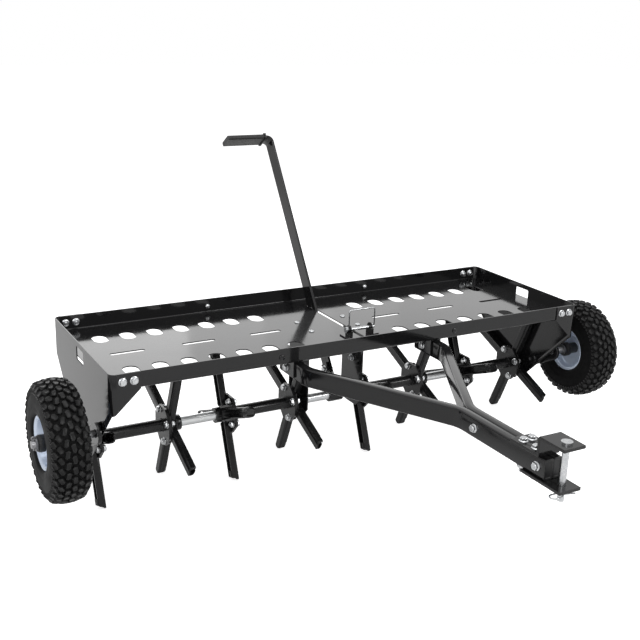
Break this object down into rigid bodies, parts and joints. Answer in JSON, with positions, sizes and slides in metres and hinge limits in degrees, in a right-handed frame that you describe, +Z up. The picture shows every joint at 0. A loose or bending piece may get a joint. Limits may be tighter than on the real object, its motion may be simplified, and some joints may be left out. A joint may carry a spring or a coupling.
{
  "type": "tow-behind plug aerator",
  "caption": "Tow-behind lawn plug aerator: steel weight tray, turning spoon drums, lever-lifted transport wheels and a V tow bar with a pin hitch.",
  "frame": {"origin": "on the ground, in the middle of the overall length and width", "axes": "+Z up, -Y towards the hitch and the tow vehicle, +X to the right seen from behind"},
  "size_m": [1.502, 1.2704, 0.7465],
  "materials": {
    "black_paint": "gloss",
    "drum_paint": "satin",
    "spoon_paint": "gloss",
    "zinc_plate": "satin",
    "wire_zinc": "satin",
    "axle_steel": "satin",
    "bush_plastic": "matt",
    "grip_vinyl": "matt",
    "tyre_rubber": "matt",
    "rim_paint": "satin",
    "hub_plastic": "matt"
  },
  "bodies": {
    "frame": {"deck": "black_paint", "end_panel_left": "black_paint", "end_panel_right": "black_paint", "corner_bolts": "zinc_plate", "corner_nuts": "zinc_plate", "rail_bolts": "zinc_plate", "rail_nuts": "zinc_plate", "hanger_left": "black_paint", "hanger_right": "black_paint", "hanger_bolts": "zinc_plate", "hanger_nuts": "zinc_plate", "brace_bolts": "zinc_plate", "brace_nuts": "zinc_plate", "axle_bushes": "bush_plastic", "lock_ear_left": "black_paint", "lock_ear_right": "black_paint", "tow_bracket_left": "black_paint", "tow_bracket_right": "black_paint", "tow_arm_left": "black_paint", "tow_arm_right": "black_paint", "tow_bolts": "zinc_plate", "tow_nuts": "zinc_plate", "hitch_upper_plate": "black_paint", "hitch_lower_plate": "black_paint", "hitch_bolts": "zinc_plate", "hitch_nuts": "zinc_plate"},
    "lift": {"axle": "axle_steel", "shaft_collars": "black_paint", "crank_left": "black_paint", "crank_right": "black_paint", "stub_axles": "axle_steel", "wheel_cotters": "zinc_plate", "lever": "black_paint", "lever_grip": "grip_vinyl", "lever_clamp": "black_paint", "lever_bolts": "zinc_plate", "lever_nuts": "zinc_plate"},
    "hitch_pin": {"hitch_pin": "zinc_plate", "hair_clip": "wire_zinc"},
    "lock_pin": {"lock_pin": "zinc_plate"},
    "lock_bail": {"lock_bail": "wire_zinc"},
    "drum_1": {"drum_hub_1": "drum_paint", "drum_spoons_1": "spoon_paint", "drum_bolts_1": "zinc_plate"},
    "drum_2": {"drum_hub_2": "drum_paint", "drum_spoons_2": "spoon_paint", "drum_bolts_2": "zinc_plate"},
    "drum_3": {"drum_hub_3": "drum_paint", "drum_spoons_3": "spoon_paint", "drum_bolts_3": "zinc_plate"},
    "drum_4": {"drum_hub_4": "drum_paint", "drum_spoons_4": "spoon_paint", "drum_bolts_4": "zinc_plate"},
    "wheel_left": {"tyre_left": "tyre_rubber", "rim_left": "rim_paint", "wheel_hub_left": "hub_plastic"},
    "wheel_right": {"tyre_right": "tyre_rubber", "rim_right": "rim_paint", "wheel_hub_right": "hub_plastic"}
  },
  "joints": [
    {"name": "lift_lever", "type": "hinge", "parent": "frame", "child": "lift", "pos_m": [0, 0.22032, 0.14704], "axis": [1, 0, 0], "range_deg": [0, 53]},
    {"name": "drum_1_spin", "type": "hinge", "parent": "lift", "child": "drum_1", "pos_m": [-0.502, 0.22032, 0.14704], "axis": [1, 0, 0], "continuous": true},
    {"name": "drum_2_spin", "type": "hinge", "parent": "lift", "child": "drum_2", "pos_m": [-0.182, 0.22032, 0.14704], "axis": [1, 0, 0], "continuous": true},
    {"name": "drum_3_spin", "type": "hinge", "parent": "lift", "child": "drum_3", "pos_m": [0.182, 0.22032, 0.14704], "axis": [1, 0, 0], "continuous": true},
    {"name": "drum_4_spin", "type": "hinge", "parent": "lift", "child": "drum_4", "pos_m": [0.502, 0.22032, 0.14704], "axis": [1, 0, 0], "continuous": true},
    {"name": "wheel_left_spin", "type": "hinge", "parent": "lift", "child": "wheel_left", "pos_m": [-0.697, 0.08964, 0.21652], "axis": [1, 0, 0], "continuous": true},
    {"name": "wheel_right_spin", "type": "hinge", "parent": "lift", "child": "wheel_right", "pos_m": [0.697, 0.08964, 0.21652], "axis": [1, 0, 0], "continuous": true},
    {"name": "hitch_pin_turn", "type": "hinge", "parent": "frame", "child": "hitch_pin", "pos_m": [0, -0.61418, 0.30854], "axis": [0, 0, 1], "continuous": true},
    {"name": "lock_pin_turn", "type": "hinge", "parent": "frame", "child": "lock_pin", "pos_m": [0.028, 0.11732, 0.35104], "axis": [1, 0, 0], "range_deg": [0, 90]},
    {"name": "lock_bail_swing", "type": "hinge", "parent": "lock_pin", "child": "lock_bail", "pos_m": [-0.007, 0.11732, 0.35104], "axis": [0, -1, 0], "range_deg": [0, 90]}
  ]
}
